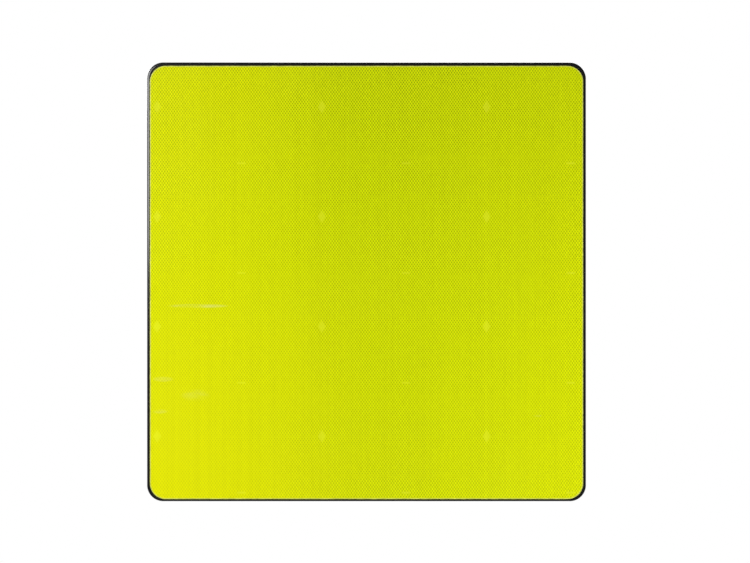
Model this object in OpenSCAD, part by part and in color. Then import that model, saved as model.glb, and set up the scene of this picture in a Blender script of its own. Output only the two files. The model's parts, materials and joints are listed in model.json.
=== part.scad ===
// Square traffic sign panel with a folded black edge, retroreflective sheeting,
// two rear rails and two clamps that hold it to a round post.
// The sign faces -Y and +Z is up. The origin is on the post's axis, at mid-height.

/* [Sign panel] */
// Side of the square panel, over the folded edges
sign_side = 600; // [450:1:900]
// Thickness of the aluminium sheet
sheet_t = 2; // [1.5:0.1:2.5]
// Outer radius of the panel's corners
corner_r = 22; // [16:0.5:40]
// Outer radius of the folds
bend_r = 3; // [2.6:0.1:5]
// Depth of the folded edge, front to back
edge_depth = 25; // [18:0.5:40]
// Width of the return flange, over its fold
return_w = 12; // [8:0.5:16]

/* [Sheeting] */
// Thickness of the reflective sheeting
film_t = 0.45; // [0.3:0.05:0.8]
// Painted border between the panel's side and the sheeting
film_margin = 4; // [3.9:0.1:12]
// How far the sheeting sits below the panel's middle
film_drop = 0.9; // [0:0.1:0.9]
// Corner radius of the sheeting
film_corner_r = 21.5; // [12:0.5:30]

/* [Rails] */
// Height between the two rails' centrelines
rail_spacing = 300; // [200:1:360]
// Height of a rail off the panel's back
rail_h = 22; // [18:0.5:30]
// Outer width of the rail's channel
channel_w = 27; // [25:0.5:34]
// Wall thickness of the rail
rail_wall = 2.5; // [2:0.1:3]
// Width of each foot beside the channel
foot_w = 18; // [17:0.5:24]
// Gap between a rail's end and the return flange
rail_end_gap = 18; // [8:1:60]

/* [Rail fixings] */
// Studs in each foot of a rail
studs_per_foot = 4; // [2:1:6]
// Distance from the rail's end to its first stud
stud_end = 35; // [15:1:60]
// Thread diameter of the weld studs
stud_d = 6; // [5:0.5:6.5]
// Diameter of the stud's weld flange
stud_flange_d = 7.5; // [7.3:0.1:8]
// Thickness of the stud's weld flange
stud_flange_t = 1; // [0.6:0.1:1.5]
// Thread that stands out past a tightened nut
thread_past_nut = 3; // [1:0.5:6]
// Outer diameter of the foot washers
foot_washer_d = 16; // [13:0.5:17]
// Thickness of the foot washers
foot_washer_t = 1.6; // [1:0.1:2.5]
// Height of the stud nuts
stud_nut_h = 5; // [4:0.1:6]
// Wall between a stud nut's thread and its flats
stud_nut_wall = 2; // [1.8:0.1:2.6]

/* [Rail end caps] */
// Thickness of the cap's plate
cap_t = 3; // [2:0.5:5]
// Depth of the plug inside the channel
plug_depth = 10; // [5:1:15]
// Wall of the hollow plug
plug_wall = 2; // [1.5:0.1:3]

/* [Post clamps] */
// Diameter of the post
post_d = 76.1; // [60:0.1:114]
// Height of a clamp along the post
clamp_h = 40; // [30:1:60]
// Wall of the half ring round the post
ring_wall = 5; // [4:0.1:8]
// Least distance between the post and the rail
seat_t = 6; // [5.5:0.1:12]
// Thickness of the saddle's base and ears
ear_t = 6; // [4:0.1:9]
// Thickness of the saddle's base plate
base_t = 5; // [4:0.1:5.5]
// Thickness of the saddle's side webs
web_t = 4; // [3:0.1:6]
// Gap between the two clamp halves when tightened
split_gap = 6; // [3:0.1:10]
// From the ring to a bolt's axis
bolt_offset = 15; // [13:0.5:25]
// From a bolt's axis to the end of the ear
ear_end = 12; // [11:0.5:20]
// How far the strap draws back when the nuts are undone
strap_travel = 12; // [5:0.5:20]
// Radius that rounds the free edges of the castings
edge_round = 2; // [0.5:0.1:2.5]

/* [Clamp bolts] */
// Thread diameter of the clamp bolts
bolt_d = 8; // [6:0.5:10]
// Thickness of the T-shaped head
head_t = 4; // [3:0.1:6]
// Height of the clamp nuts
nut_h = 6.5; // [5:0.1:9]
// Wall between a clamp nut's thread and its flats
nut_wall = 2.5; // [2:0.1:3]
// Outer diameter of the clamp washers
washer_d = 17; // [15:0.5:20]
// Thickness of the clamp washers
washer_t = 1.6; // [1:0.1:3]
// Chamfer at the end of a thread and round a nut
chamfer = 0.8; // [0.4:0.1:1]

/* [Clearances] */
// Radial gap between a nut and its thread
thread_gap = 0.05; // [0.03:0.01:0.1]
// Radial gap round a bolt or stud in its hole
hole_gap = 0.5; // [0.3:0.1:1]
// Gap on each side of a clamp bolt in the rail's slot
slide_gap = 0.5; // [0.3:0.1:1]
// Gap at each end of a T-head in the rail's channel
head_end_gap = 1; // [0.5:0.1:2]
// Gap round the end cap's plug
plug_gap = 0.15; // [0.05:0.05:0.4]

/* [Hidden] */
$fn = 96;

post_r = post_d / 2;
ring_r = post_r + ring_wall;

// Planes from the post's axis forward to the sign's face
rail_face_y = -(post_r + seat_t);
panel_back_y = rail_face_y - rail_h;
face_y = panel_back_y - sheet_t;

rail_length = sign_side - 2 * (return_w + rail_end_gap);
rail_w = channel_w + 2 * foot_w;
cavity_w = channel_w - 2 * rail_wall;
cavity_h = rail_h - 2 * rail_wall;
slot_w = bolt_d + 2 * slide_gap;
foot_hole_d = stud_flange_d + 2 * hole_gap;
foot_line = channel_w / 2 + foot_w / 2;
stud_pitch = (rail_length - 2 * stud_end) / (studs_per_foot - 1);
foot_top_y = panel_back_y + rail_wall;
stud_nut_y = foot_top_y + foot_washer_t;
stud_l = rail_wall + foot_washer_t + stud_nut_h + thread_past_nut;

bolt_x = ring_r + bolt_offset;
clamp_half_w = bolt_x + ear_end;
ear_face = split_gap / 2;
strap_seat_y = ear_face + ear_t;
nut_y = strap_seat_y + washer_t;
head_top_y = rail_face_y - rail_wall;
bolt_end_y = nut_y + nut_h + strap_travel + thread_past_nut;
head_w = slot_w - slide_gap;
head_l = cavity_w - 2 * head_end_gap;

// How far a hole's cutter runs past the faces it cuts
overrun = 1;

upper = 1;
lower = -1;
left = -1;
right = 1;

// A square with rounded corners, centred
module rounded_square(side, r) {
    inner = side - 2 * r;
    square([inner, side], center = true);
    square([side, inner], center = true);
    for (x = [-1, 1], y = [-1, 1])
        translate([x * inner / 2, y * inner / 2])
            circle(r);
}

// A rectangle whose far corners, in +y, are rounded
module soft_bar(w, h, r) {
    square([w, h - r]);
    translate([r, 0])
        square([w - 2 * r, h]);
    for (x = [r, w - r])
        translate([x, h - r])
            circle(r);
}

// Stands a flat outline up in the XZ plane, with its back at y
module standing(y, t) {
    translate([0, y, 0])
        rotate([90, 0, 0])
            linear_extrude(t)
                children();
}

// Runs a section along X: the section's x is up and its y is to the back
module along_x(length) {
    rotate([0, -90, 0])
        linear_extrude(length, center = true)
            children();
}

// Turns a section round an axis that points to the back, at x and z
module round_back(x, y, z) {
    translate([x, y, z])
        rotate([-90, 0, 0])
            rotate_extrude()
                children();
}

// A quarter of a fold in the sheet, in the quadrant towards +x and +y
module fold() {
    intersection() {
        difference() {
            circle(bend_r);
            circle(bend_r - sheet_t);
        }
        square(bend_r);
    }
}

// The front fold and the side wall, measured from the panel's outer side
module wall_section() {
    translate([-bend_r, bend_r])
        mirror([0, 1])
            fold();
    translate([-sheet_t, bend_r])
        square([sheet_t, edge_depth - 2 * bend_r]);
}

// The straight sides fold in again at the back, as a return flange
module side_section() {
    wall_section();
    translate([-bend_r, edge_depth - bend_r])
        fold();
    translate([-return_w, edge_depth - sheet_t])
        square([return_w - bend_r, sheet_t]);
}

module sign_panel() {
    corner_at = sign_side / 2 - corner_r;
    color([0.02, 0.02, 0.02]) {
        standing(panel_back_y, sheet_t)
            rounded_square(sign_side - 2 * bend_r, corner_r - bend_r);
        for (turn = [0 : 90 : 270])
            rotate([0, turn, 0]) {
                translate([0, face_y, sign_side / 2])
                    along_x(2 * corner_at)
                        side_section();
                translate([corner_at, face_y, -corner_at])
                    rotate([-90, 0, 0])
                        rotate_extrude(angle = 90)
                            translate([corner_r, 0])
                                wall_section();
            }
    }
}

module reflective_sheeting() {
    color([0.78, 0.86, 0.02])
        translate([0, 0, -film_drop])
            standing(face_y, film_t)
                rounded_square(sign_side - 2 * film_margin, film_corner_r);
}

// The rail's section: two feet, a channel and the slot between its lips
module rail_section() {
    difference() {
        union() {
            translate([-rail_w / 2, 0])
                square([rail_w, rail_wall]);
            translate([-channel_w / 2, 0])
                square([channel_w, rail_h]);
        }
        translate([-cavity_w / 2, rail_wall])
            square([cavity_w, cavity_h]);
        translate([-slot_w / 2, rail_wall])
            square([slot_w, rail_h]);
    }
}

// Puts the children at every stud of one rail
module at_studs(level) {
    for (i = [0 : studs_per_foot - 1], foot = [-1, 1])
        translate([
            -rail_length / 2 + stud_end + i * stud_pitch,
            0,
            level * rail_spacing / 2 + foot * foot_line
        ])
            children();
}

module rail(level) {
    color([0.72, 0.73, 0.75])
        difference() {
            translate([0, panel_back_y, level * rail_spacing / 2])
                along_x(rail_length)
                    rail_section();
            at_studs(level)
                round_back(0, panel_back_y - overrun, 0)
                    square([foot_hole_d / 2, rail_wall + 2 * overrun]);
        }
}

// A threaded rod's half section with a chamfered end, standing on y = 0
module rod_section(d, length) {
    polygon([
        [0, 0],
        [d / 2, 0],
        [d / 2, length - chamfer],
        [d / 2 - chamfer, length],
        [0, length]
    ]);
}

module rail_studs(level) {
    color([0.8, 0.8, 0.82])
        at_studs(level)
            round_back(0, panel_back_y, 0) {
                square([stud_flange_d / 2, stud_flange_t]);
                rod_section(stud_d, stud_l);
            }
}

// A flat washer with its back face at y + t
module washer(y, hole_d, outer_d, t) {
    round_back(0, y, 0)
        translate([hole_d / 2, 0])
            square([(outer_d - hole_d) / 2, t]);
}

// A hexagon nut whose front face is at y, chamfered on both faces
module hex_nut(y, thread_d, wall, h) {
    flat = thread_d / 2 + wall;
    corner = flat / cos(30);
    bore = thread_d / 2 + thread_gap;
    intersection() {
        translate([0, y, 0])
            rotate([-90, 0, 0])
                cylinder(h = h, r = corner, $fn = 6);
        round_back(0, y, 0)
            polygon([
                [bore + chamfer / 2, 0],
                [flat - chamfer / 4, 0],
                [corner, chamfer],
                [corner, h - chamfer],
                [flat - chamfer / 4, h],
                [bore + chamfer / 2, h],
                [bore, h - chamfer / 2],
                [bore, chamfer / 2]
            ]);
    }
}

module rail_washers(level) {
    color([0.8, 0.8, 0.82])
        at_studs(level)
            washer(foot_top_y, stud_d + 2 * hole_gap, foot_washer_d, foot_washer_t);
}

module rail_nuts(level) {
    color([0.78, 0.78, 0.8])
        at_studs(level)
            hex_nut(stud_nut_y, stud_d, stud_nut_wall, stud_nut_h);
}

// A moulded cap: a plate over the channel's end and a hollow plug inside it
module end_cap(level, side) {
    plug_w = cavity_w - 2 * plug_gap;
    plug_h = cavity_h - 2 * plug_gap;
    color([0.05, 0.05, 0.05])
        translate([side * rail_length / 2, panel_back_y, level * rail_spacing / 2]) {
            translate([side * cap_t / 2, 0, 0])
                along_x(cap_t)
                    translate([-channel_w / 2, 0])
                        soft_bar(channel_w, rail_h, edge_round);
            translate([-side * plug_depth / 2, 0, 0])
                along_x(plug_depth)
                    translate([0, rail_wall + plug_gap + plug_h / 2])
                        difference() {
                            square([plug_w, plug_h], center = true);
                            square([plug_w - 2 * plug_wall, plug_h - 2 * plug_wall], center = true);
                        }
        }
}

// Puts the children at both bolts of one clamp
module at_bolts(level) {
    for (side = [left, right])
        translate([side * bolt_x, 0, level * rail_spacing / 2])
            children();
}

// Bolt holes through a clamp half, from the rail to past the strap
module bolt_holes() {
    at_bolts(0)
        round_back(0, rail_face_y - overrun, 0)
            square([bolt_d / 2 + hole_gap, bolt_end_y - rail_face_y + overrun]);
}

// An ear beside the ring, with a rounded free corner, from the split to its seat
module ear(side) {
    mirror([side < 0 ? 1 : 0, 0])
        translate([post_r + ring_wall / 2, ear_face]) {
            w = clamp_half_w - post_r - ring_wall / 2;
            square([w, ear_t - edge_round]);
            square([w - edge_round, ear_t]);
            translate([w - edge_round, ear_t - edge_round])
                circle(edge_round);
        }
}

// The half ring that lies behind the split
module half_ring() {
    intersection() {
        difference() {
            circle(ring_r);
            circle(post_r);
        }
        translate([-ring_r, ear_face])
            square([2 * ring_r, ring_r]);
    }
}

module clamp_saddle(level) {
    color([0.7, 0.71, 0.73])
        translate([0, 0, level * rail_spacing / 2])
            difference() {
                linear_extrude(clamp_h, center = true) {
                    mirror([0, 1])
                        half_ring();
                    for (side = [left, right]) {
                        mirror([0, 1])
                            ear(side);
                        translate([side * (clamp_half_w - web_t / 2) - web_t / 2, rail_face_y])
                            square([web_t, -rail_face_y - strap_seat_y + edge_round]);
                    }
                    difference() {
                        translate([-clamp_half_w, rail_face_y])
                            square([2 * clamp_half_w, base_t]);
                        circle(post_r);
                    }
                }
                bolt_holes();
            }
}

module clamp_strap(level) {
    color([0.7, 0.71, 0.73])
        translate([0, 0, level * rail_spacing / 2])
            difference() {
                linear_extrude(clamp_h, center = true) {
                    half_ring();
                    for (side = [left, right])
                        ear(side);
                }
                bolt_holes();
            }
}

// T-head bolts: the head lies across the slot, behind the rail's lips
module clamp_bolts(level) {
    color([0.75, 0.75, 0.77])
        at_bolts(level) {
            translate([-head_w / 2, head_top_y - head_t, -head_l / 2])
                cube([head_w, head_t, head_l]);
            round_back(0, head_top_y - head_t, 0)
                rod_section(bolt_d, bolt_end_y - head_top_y + head_t);
        }
}

module clamp_washers(level) {
    color([0.8, 0.8, 0.82])
        at_bolts(level)
            washer(strap_seat_y, bolt_d + 2 * hole_gap, washer_d, washer_t);
}

module clamp_nut(level, side) {
    color([0.78, 0.78, 0.8])
        translate([side * bolt_x, 0, level * rail_spacing / 2])
            hex_nut(nut_y, bolt_d, nut_wall, nut_h);
}

sign_panel();
reflective_sheeting();
rail(upper);  // upper_rail
rail(lower);  // lower_rail
rail_studs(upper);  // upper_rail_studs
rail_studs(lower);  // lower_rail_studs
rail_washers(upper);  // upper_rail_washers
rail_washers(lower);  // lower_rail_washers
rail_nuts(upper);  // upper_rail_nuts
rail_nuts(lower);  // lower_rail_nuts
end_cap(upper, left);  // upper_left_end_cap
end_cap(upper, right);  // upper_right_end_cap
end_cap(lower, left);  // lower_left_end_cap
end_cap(lower, right);  // lower_right_end_cap
clamp_saddle(upper);  // upper_clamp_saddle
clamp_bolts(upper);  // upper_clamp_bolts
clamp_strap(upper);  // upper_clamp_strap
clamp_washers(upper);  // upper_clamp_washers
clamp_nut(upper, left);  // upper_left_clamp_nut
clamp_nut(upper, right);  // upper_right_clamp_nut
clamp_saddle(lower);  // lower_clamp_saddle
clamp_bolts(lower);  // lower_clamp_bolts
clamp_strap(lower);  // lower_clamp_strap
clamp_washers(lower);  // lower_clamp_washers
clamp_nut(lower, left);  // lower_left_clamp_nut
clamp_nut(lower, right);  // lower_right_clamp_nut
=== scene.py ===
# Square traffic sign: folded black panel, prismatic sheeting, rear rails and post clamps.
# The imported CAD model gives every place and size; this file gives the looks.
import json
import math
from collections import namedtuple

import bmesh
import bpy
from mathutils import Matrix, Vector
from mathutils.geometry import tessellate_polygon

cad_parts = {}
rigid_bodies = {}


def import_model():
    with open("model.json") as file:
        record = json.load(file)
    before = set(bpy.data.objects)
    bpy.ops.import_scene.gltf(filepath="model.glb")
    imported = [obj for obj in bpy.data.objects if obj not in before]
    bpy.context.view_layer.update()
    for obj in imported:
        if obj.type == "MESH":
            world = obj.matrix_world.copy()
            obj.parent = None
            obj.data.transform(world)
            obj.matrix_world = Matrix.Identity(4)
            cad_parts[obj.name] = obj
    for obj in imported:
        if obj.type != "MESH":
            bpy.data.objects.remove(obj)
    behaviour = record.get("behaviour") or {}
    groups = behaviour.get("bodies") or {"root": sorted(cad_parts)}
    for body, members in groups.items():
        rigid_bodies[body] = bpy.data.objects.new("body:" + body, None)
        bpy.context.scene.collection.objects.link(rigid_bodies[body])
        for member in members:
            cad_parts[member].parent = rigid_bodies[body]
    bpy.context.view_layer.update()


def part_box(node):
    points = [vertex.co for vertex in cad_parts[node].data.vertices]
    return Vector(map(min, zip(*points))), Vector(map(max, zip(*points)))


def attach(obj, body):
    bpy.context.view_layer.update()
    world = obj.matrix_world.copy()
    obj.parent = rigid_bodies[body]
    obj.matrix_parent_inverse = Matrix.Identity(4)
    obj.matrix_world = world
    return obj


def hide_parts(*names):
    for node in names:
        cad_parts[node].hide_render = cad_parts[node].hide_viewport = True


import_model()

mm = 0.001
shown = bpy.context.scene.collection.objects


cameraSetup = {
    "lens": 150.0,
    "sensor": 36.0,
    "distance": 4.273,   # from the panel's outline to the camera
    "outline": 0.003,    # how far the outline lies behind the panel's front
    "sideways": 0.0116,  # the sign hangs a little left of the picture's middle
    "height": 0.0004,
}

studio = {
    "floorHeight": -0.80,
    "floorRadius": 3.2,
    "floorFade": (0.35, 0.97),   # where the floor starts and ends to fade, as shares of its radius
    "floorColour": (0.86, 0.86, 0.86, 1.0),
    "floorLift": 0.80,           # how far the floor is lifted towards white where it is seen
    "background": 1.0,
    "frontLevel": 0.05,          # what the world sends from in front of the sign
    "behindFrom": (0.10, 0.80),  # where in front gives way to behind
    "horizonLevel": 0.35,        # from behind it, low down
    "skyLevel": 0.85,            # from behind it, high up
    "skyFrom": (-0.2, 0.8),      # where low gives way to high
}

# each lamp: place, target, width and height, power, and whether gloss mirrors it
lamps = {
    "keySoftbox": ((-1.12, -1.30, 0.47), (0.0, -0.07, 0.05), (1.25, 0.88), 18.5, True),
    "lowLeftFill": ((-1.10, -1.15, -0.35), (-0.05, -0.07, -0.10), (0.90, 0.70), 4.0, False),
    "rightFill": ((1.15, -1.10, -0.33), (0.10, -0.07, -0.05), (0.90, 0.80), 12.0, False),
    "rearSoftbox": ((0.90, 2.10, 1.45), (0.0, 0.0, 0.0), (2.40, 1.70), 36.0, True),
    "rearStrip": ((-1.70, 1.60, 0.95), (0.0, 0.0, 0.0), (0.60, 1.20), 16.0, True),
}


def feed(tree, node, inputs):
    # an input is a plain value or another node's output
    for key, value in inputs.items():
        if isinstance(value, bpy.types.NodeSocket):
            tree.links.new(value, node.inputs[key])
        else:
            node.inputs[key].default_value = value


def put(tree, kind, inputs=None, **settings):
    made = tree.nodes.new(kind)
    for key, value in settings.items():
        setattr(made, key, value)
    feed(tree, made, inputs or {})
    return made


def calc(tree, operation, *values):
    # one Math node
    return put(tree, "ShaderNodeMath", dict(enumerate(values)), operation=operation).outputs[0]


def plus(tree, total, *others):
    for other in others:
        total = calc(tree, "ADD", total, other)
    return total


def times(tree, total, *others):
    for other in others:
        total = calc(tree, "MULTIPLY", total, other)
    return total


def remap(tree, value, fromLow, fromHigh, toLow=0.0, toHigh=1.0, curve="LINEAR"):
    return put(tree, "ShaderNodeMapRange", {
        "Value": value, "From Min": fromLow, "From Max": fromHigh,
        "To Min": toLow, "To Max": toHigh,
    }, interpolation_type=curve).outputs[0]


def makeCamera():
    data = bpy.data.cameras.new("camera")
    data.lens = cameraSetup["lens"]
    data.sensor_width = cameraSetup["sensor"]
    camera = bpy.data.objects.new("camera", data)
    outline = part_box("sign_panel")[0].y + cameraSetup["outline"]
    camera.location = (
        cameraSetup["sideways"], outline - cameraSetup["distance"], cameraSetup["height"]
    )
    camera.rotation_euler = (math.radians(90), 0, 0)
    shown.link(camera)
    bpy.context.scene.camera = camera


def makeLamps():
    for name, (place, target, size, power, mirrored) in lamps.items():
        data = bpy.data.lights.new(name, "AREA")
        data.shape = "RECTANGLE"
        data.size, data.size_y = size
        data.energy = power
        lamp = bpy.data.objects.new(name, data)
        lamp.location = place
        aim = Vector(target) - Vector(place)
        lamp.rotation_euler = aim.to_track_quat("-Z", "Y").to_euler()
        lamp.visible_camera = False
        lamp.visible_glossy = mirrored
        shown.link(lamp)


def makeWorld():
    # plain white to the camera; a soft studio, dim in front, to everything else
    world = bpy.data.worlds.new("studio")
    world.use_nodes = True
    tree = world.node_tree
    tree.nodes.clear()
    toward = put(tree, "ShaderNodeTexCoord").outputs["Generated"]
    axes = put(tree, "ShaderNodeSeparateXYZ", {"Vector": toward})
    behind = remap(tree, axes.outputs["Y"], *studio["behindFrom"], curve="SMOOTHSTEP")
    high = remap(
        tree, axes.outputs["Z"], *studio["skyFrom"],
        studio["horizonLevel"], studio["skyLevel"], "SMOOTHSTEP",
    )
    level = put(tree, "ShaderNodeMix", {0: behind, 2: studio["frontLevel"], 3: high})
    camera = put(tree, "ShaderNodeLightPath").outputs["Is Camera Ray"]
    lit = put(tree, "ShaderNodeBackground", {"Strength": level.outputs[0]})
    seen = put(tree, "ShaderNodeBackground", {"Strength": studio["background"]})
    for background in (lit, seen):
        background.inputs["Color"].default_value = (1, 1, 1, 1)
    both = put(tree, "ShaderNodeMixShader", {0: camera, 1: lit.outputs[0], 2: seen.outputs[0]})
    put(tree, "ShaderNodeOutputWorld", {"Surface": both.outputs[0]})
    bpy.context.scene.world = world


def makeFloor():
    # a pale disc, evened out where it is seen, that fades into the white background at its rim
    bm = bmesh.new()
    bmesh.ops.create_circle(bm, cap_ends=True, segments=96, radius=studio["floorRadius"])
    bmesh.ops.translate(bm, verts=bm.verts, vec=(0, 0, studio["floorHeight"]))
    mesh = bpy.data.meshes.new("floor")
    bm.to_mesh(mesh)
    bm.free()
    floor = bpy.data.objects.new("floor", mesh)
    shown.link(floor)
    material = bpy.data.materials.new("paleFloor")
    material.use_nodes = True
    tree = material.node_tree
    tree.nodes.clear()
    place = put(tree, "ShaderNodeTexCoord").outputs["Object"]
    flat = put(tree, "ShaderNodeVectorMath", {0: place, 1: (1, 1, 0)}, operation="MULTIPLY")
    away = put(tree, "ShaderNodeVectorMath", {0: flat.outputs[0]}, operation="LENGTH")
    start, end = (share * studio["floorRadius"] for share in studio["floorFade"])
    fade = remap(tree, away.outputs["Value"], start, end, curve="SMOOTHSTEP")
    paint = put(tree, "ShaderNodeBsdfDiffuse", {"Color": studio["floorColour"]})
    glow = put(tree, "ShaderNodeEmission", {"Strength": studio["background"]})
    seen = put(tree, "ShaderNodeLightPath").outputs["Is Camera Ray"]
    lift = calc(tree, "MAXIMUM", fade, times(tree, seen, studio["floorLift"]))
    both = put(tree, "ShaderNodeMixShader", {0: lift, 1: paint.outputs[0], 2: glow.outputs[0]})
    put(tree, "ShaderNodeOutputMaterial", {"Surface": both.outputs[0]})
    mesh.materials.append(material)
    floor.visible_glossy = False


bpy.context.scene.view_settings.view_transform = "Standard"
makeCamera()
makeLamps()
makeWorld()
makeFloor()
print("studio ready")


def startMaterial(name, shaderValues):
    material = bpy.data.materials.new(name)
    material.use_nodes = True
    tree = material.node_tree
    tree.nodes.clear()
    shader = put(tree, "ShaderNodeBsdfPrincipled", shaderValues)
    put(tree, "ShaderNodeOutputMaterial", {"Surface": shader.outputs[0]})
    place = put(tree, "ShaderNodeTexCoord").outputs["Object"]
    return material, tree, shader, place


def cloud(tree, place, scale, stretch=(1, 1, 1), detail=3.0, roughness=0.5):
    # noise; stretch makes it finer along an axis
    mapped = put(tree, "ShaderNodeMapping", {"Vector": place, "Scale": stretch}).outputs[0]
    values = {"Vector": mapped, "Scale": scale, "Detail": detail, "Roughness": roughness}
    return put(tree, "ShaderNodeTexNoise", values).outputs[0]


def mixColour(tree, factor, first, second):
    made = put(tree, "ShaderNodeMix", {0: factor}, data_type="RGBA")
    for index, value in ((6, first), (7, second)):
        feed(tree, made, {index: (*value, 1.0) if isinstance(value, tuple) else value})
    return made.outputs[2]


def relief(tree, shader, layers):
    # layers of height, strength and depth, one bump on top of another
    below = {}
    for height, strength, depth in layers:
        values = {"Height": height, "Strength": strength, "Distance": depth}
        below = {"Normal": put(tree, "ShaderNodeBump", values | below).outputs[0]}
    feed(tree, shader, below)


powderCoatLook = {
    "colour": (0.0050, 0.0050, 0.0046),
    "paleColour": (0.0085, 0.0085, 0.0080),
    "dustColour": (0.060, 0.058, 0.052),
    "dust": 0.13,
    "chipColour": (0.16, 0.16, 0.155),
    "chipSize": 210.0,
    "chipsBeyond": (0.2865, 0.2885),    # from the middle of the sign, so only round its rim
    "chipsBehind": (-0.0500, -0.0440),  # and only towards the back
    "gloss": (0.15, 0.26),
    "coatGloss": (0.11, 0.25),          # of the top layer: on the front rim, and behind it
    "coatGlossAt": (-0.064, -0.056),
    "sheen": 0.40,
    "peelSize": 420.0,
    "peel": 0.10,
}


def blackPowderCoat():
    look = powderCoatLook
    material, tree, shader, place = startMaterial("blackPowderCoat", {
        "IOR": 1.5, "Specular IOR Level": look["sheen"], "Coat Weight": 1.0, "Coat IOR": 1.55,
    })
    tone = mixColour(tree, cloud(tree, place, 6.0), look["colour"], look["paleColour"])
    settled = remap(tree, cloud(tree, place, 15.0, detail=8.0, roughness=0.62), 0.50, 0.78)
    tone = mixColour(tree, times(tree, settled, look["dust"]), tone, look["dustColour"])
    axes = put(tree, "ShaderNodeSeparateXYZ", {"Vector": place}).outputs
    outward = calc(
        tree, "MAXIMUM", calc(tree, "ABSOLUTE", axes["X"]), calc(tree, "ABSOLUTE", axes["Z"])
    )
    chips = cloud(tree, place, look["chipSize"], detail=5.0, roughness=0.7)
    chips = times(
        tree, remap(tree, chips, 0.665, 0.685), remap(tree, outward, *look["chipsBeyond"]),
        remap(tree, axes["Y"], *look["chipsBehind"]),
    )
    smear = cloud(tree, place, 9.0, stretch=(1, 1, 0.35), detail=6.0)
    feed(tree, shader, {
        "Base Color": mixColour(tree, chips, tone, look["chipColour"]),
        "Coat Roughness": remap(tree, axes["Y"], *look["coatGlossAt"], *look["coatGloss"]),
        "Roughness": remap(tree, smear, 0.3, 0.7, *look["gloss"]),
    })
    peel = cloud(tree, place, look["peelSize"], detail=1.0)
    grit = cloud(tree, place, 1900.0, detail=2.0)
    relief(tree, shader, [(peel, look["peel"], 0.0006), (grit, 0.03, 0.0003)])
    return material


sheetingLook = {
    "greenTone": (0.565, 0.662, 0.0010),
    "yellowTone": (0.650, 0.662, 0.0010),
    "paintedLightAndMottleYellowing": (0.56, 0.27, 0.17, 0.10),   # painted light, yellower where it falls strongest: at the left, low down, low at the left, at the right
    "paleColour": (0.740, 0.790, 0.025),
    # pale colour of the painted glare reflections and of one scratch
    "glareAndScratchColour": (0.720, 0.730, 0.210),
    "cellWidth": 3.75 * mm,
    "cellHeight": 5.29 * mm,
    "knots": 1.17,                          # how much darker the cells' knots are,
    "sealedLines": 0.20,                    # and the sealed lines between them,
    "ownTone": 0.10,                        # and the darkest of the cells
    "cellLevel": 0.36,                      # how much lighter the rest is in return
    "contrast": 0.72,                       # of the cells, at its strongest
    "paintedSheenLowContrast": 0.60,                    # share of it that is left at the bottom, where painted sheen washes it out
    "paintedSheenFading": (0.34, 0.20, 0.32),          # painted sheen washing the cells out at the left, at the right, low at the left
    "seamPitch": 54.5 * mm,
    "seamAt": 7.0 * mm,
    "markPitch": (225 * mm, 150 * mm),
    "markAt": (-61 * mm, 89 * mm),
    "markSize": (5.5 * mm, 9.0 * mm),
    "dashAt": (54 * mm, 12 * mm),
    "dashEnds": (5.2 * mm, 6.2 * mm),
    "dashRims": (0.8 * mm, 1.5 * mm),
    "marks": 0.40,
    "stepAt": (-77 * mm, -75 * mm),         # where two widths of the web meet
    "step": (1.015, 0.99),
    "lineAt": 163 * mm,                     # one pale line down the web
    "line": 1.03,
    "paintedLightAcross": (0.97, 1.03),            # painted light: brightness from the middle to the sides
    "paintedLightUpward": (1.035, 0.94),           # and from the bottom to the top
    "gloss": (0.11, 0.18),
    "glareAndScratchGloss": 0.25,
}

# pale patches in the sheeting, painted glare reflections at the lower left and one scratch at the
# right: middle x and z, half width and height, strength
sheetingGlareAndScratch = [
    (-230 * mm, -33 * mm, 46 * mm, 3.2 * mm, 0.50),
    (-278 * mm, -133 * mm, 16 * mm, 4.0 * mm, 0.32),
    (-282 * mm, -177 * mm, 12 * mm, 3.5 * mm, 0.26),
    (-234 * mm, -155 * mm, 22 * mm, 9.0 * mm, 0.16),
    (234 * mm, -183 * mm, 7 * mm, 1.6 * mm, 0.40),
]


def nearest(tree, value, start, pitch):
    # distance to the nearest line of a row of lines
    shifted = plus(tree, calc(tree, "DIVIDE", calc(tree, "SUBTRACT", value, start), pitch), 0.5)
    part = calc(tree, "SUBTRACT", calc(tree, "FRACT", shifted), 0.5)
    return calc(tree, "ABSOLUTE", times(tree, part, pitch))


def prismCells(tree, x, z, look):
    # dark knots on a centred lattice, joined by fine sealed lines, and a tone for each cell
    u = calc(tree, "DIVIDE", x, look["cellWidth"])
    v = calc(tree, "DIVIDE", z, look["cellHeight"])
    waves = [calc(tree, "COSINE", times(tree, part, 2 * math.pi)) for part in (u, v)]
    knots = remap(tree, times(tree, *waves), -0.2, 1.0)
    rising, falling = plus(tree, u, v), calc(tree, "SUBTRACT", u, v)
    lines = calc(
        tree, "MINIMUM", nearest(tree, rising, 0.0, 1.0), nearest(tree, falling, 0.0, 1.0)
    )
    sealed = remap(tree, lines, 0.02, 0.07, 1.0, 0.0)
    cell = put(tree, "ShaderNodeCombineXYZ", {
        "X": calc(tree, "FLOOR", rising), "Y": calc(tree, "FLOOR", falling),
    }).outputs[0]
    own = put(tree, "ShaderNodeTexWhiteNoise", {"Vector": cell}, noise_dimensions="2D")
    dark = plus(
        tree, times(tree, knots, look["knots"]), times(tree, sealed, look["sealedLines"]),
        times(tree, own.outputs["Value"], look["ownTone"]),
    )
    return calc(tree, "SUBTRACT", look["cellLevel"], dark), sealed


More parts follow.
